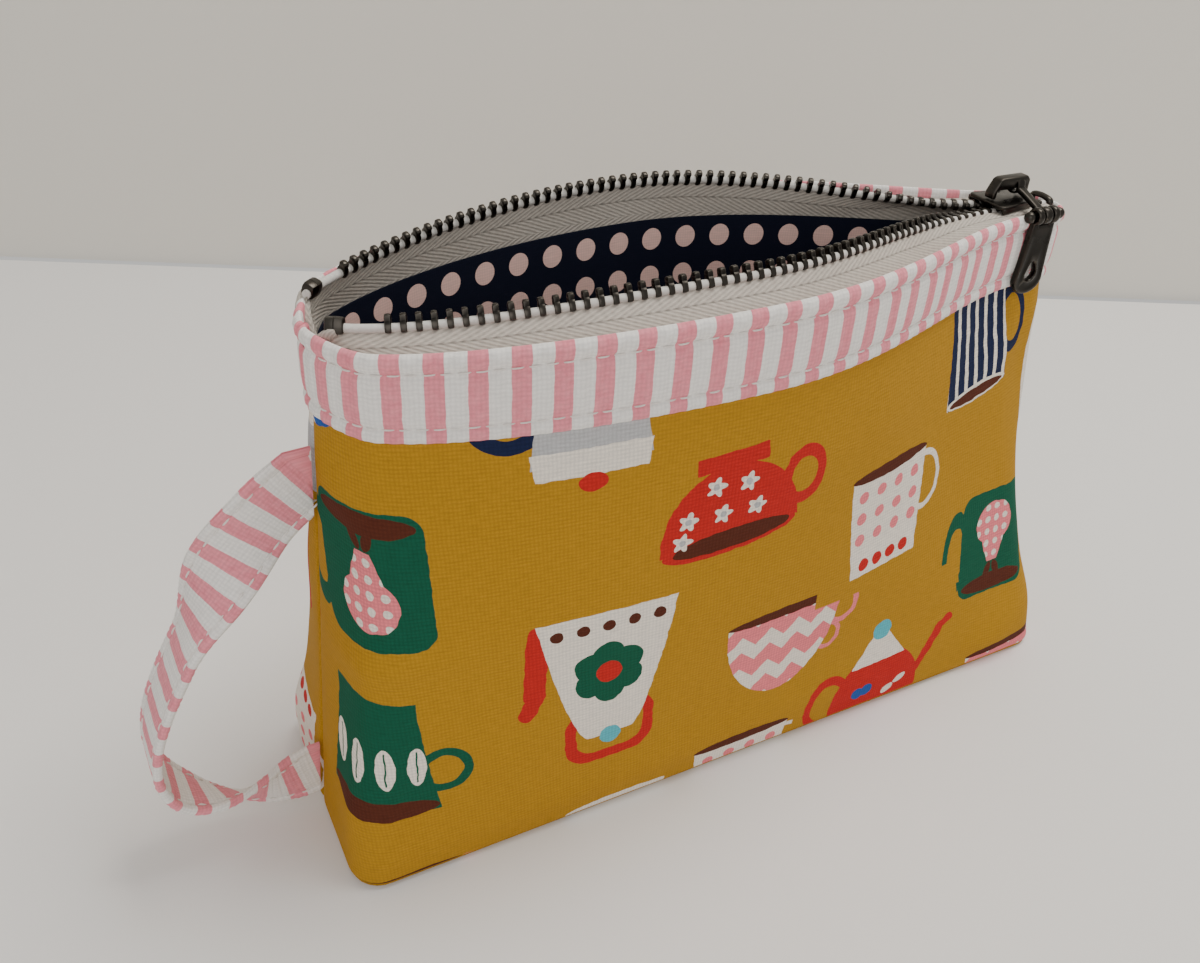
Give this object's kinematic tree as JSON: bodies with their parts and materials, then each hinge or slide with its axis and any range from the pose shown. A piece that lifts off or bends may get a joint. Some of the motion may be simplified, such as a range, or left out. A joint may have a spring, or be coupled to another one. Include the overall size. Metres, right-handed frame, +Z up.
{
  "type": "zippered pouch",
  "caption": "Boxed-base fabric pouch with a striped band, a metal zip across its open mouth and a ribbon wrist loop on the left side seam.",
  "frame": {"origin": "centre of the base panel's lower face, on the plane the pouch stands on", "axes": "+X along the pouch towards the end where the slider rests, -Y front, +Z up"},
  "size_m": [0.2479, 0.0678, 0.1378],
  "materials": {
    "canvas": "mustard cotton canvas printed with cups and teapots, matt",
    "striped_cotton": "pink and white woven stripe, matt, topstitched in white",
    "fleece": "white fusible fleece, hidden",
    "lining": "navy cotton printed with pale pink dots",
    "zip_tape": "light grey herringbone tape with a white corded edge",
    "zip_metal": "dark antique plating, worn bright on edges",
    "spring_steel": "bright spring steel"
  },
  "bodies": {
    "pouch": {"outer_front": "canvas", "outer_back": "canvas", "outer_base": "canvas", "band_front": "striped_cotton", "band_back": "striped_cotton", "interfacing_front": "fleece", "interfacing_back": "fleece", "interfacing_base": "fleece", "lining_front": "lining", "lining_back": "lining", "lining_base": "lining", "zip_tape_front": "zip_tape", "zip_tape_back": "zip_tape", "zip_teeth_front": "zip_metal", "zip_teeth_back": "zip_metal", "top_stop_front": "zip_metal", "top_stop_back": "zip_metal", "bottom_stop": "zip_metal"},
    "slider": {"slider_body": "zip_metal", "slider_crown": "zip_metal", "lock_spring": "spring_steel"},
    "link": {"pull_link": "zip_metal", "pull_pin": "zip_metal"},
    "tab": {"pull_tab": "zip_metal"},
    "strap": {"wrist_strap": "striped_cotton"}
  },
  "joints": [
    {"name": "slider_slide", "type": "slide", "parent": "pouch", "child": "slider", "axis": [-1, 0, 0], "range_m": [0, 0.156], "deforming": ["zip_teeth_front", "zip_teeth_back", "zip_tape_front", "zip_tape_back", "band_front", "lining_front", "interfacing_front", "outer_front"]},
    {"name": "link_swing", "type": "hinge", "parent": "slider", "child": "link", "pos_m": [0.0775, 0, 0.1353], "axis": [-1, 0, 0], "range_deg": [0, 130]},
    {"name": "tab_swing", "type": "hinge", "parent": "link", "child": "tab", "pos_m": [0.0775, -0.0108, 0.1312], "axis": [-1, 0, 0], "range_deg": [0, 110]},
    {"name": "strap_swing", "type": "hinge", "parent": "pouch", "child": "strap", "pos_m": [-0.1033, 0, 0.0547], "axis": [0.0725, 0, 0.9974], "range_deg": [-70, 70]}
  ]
}
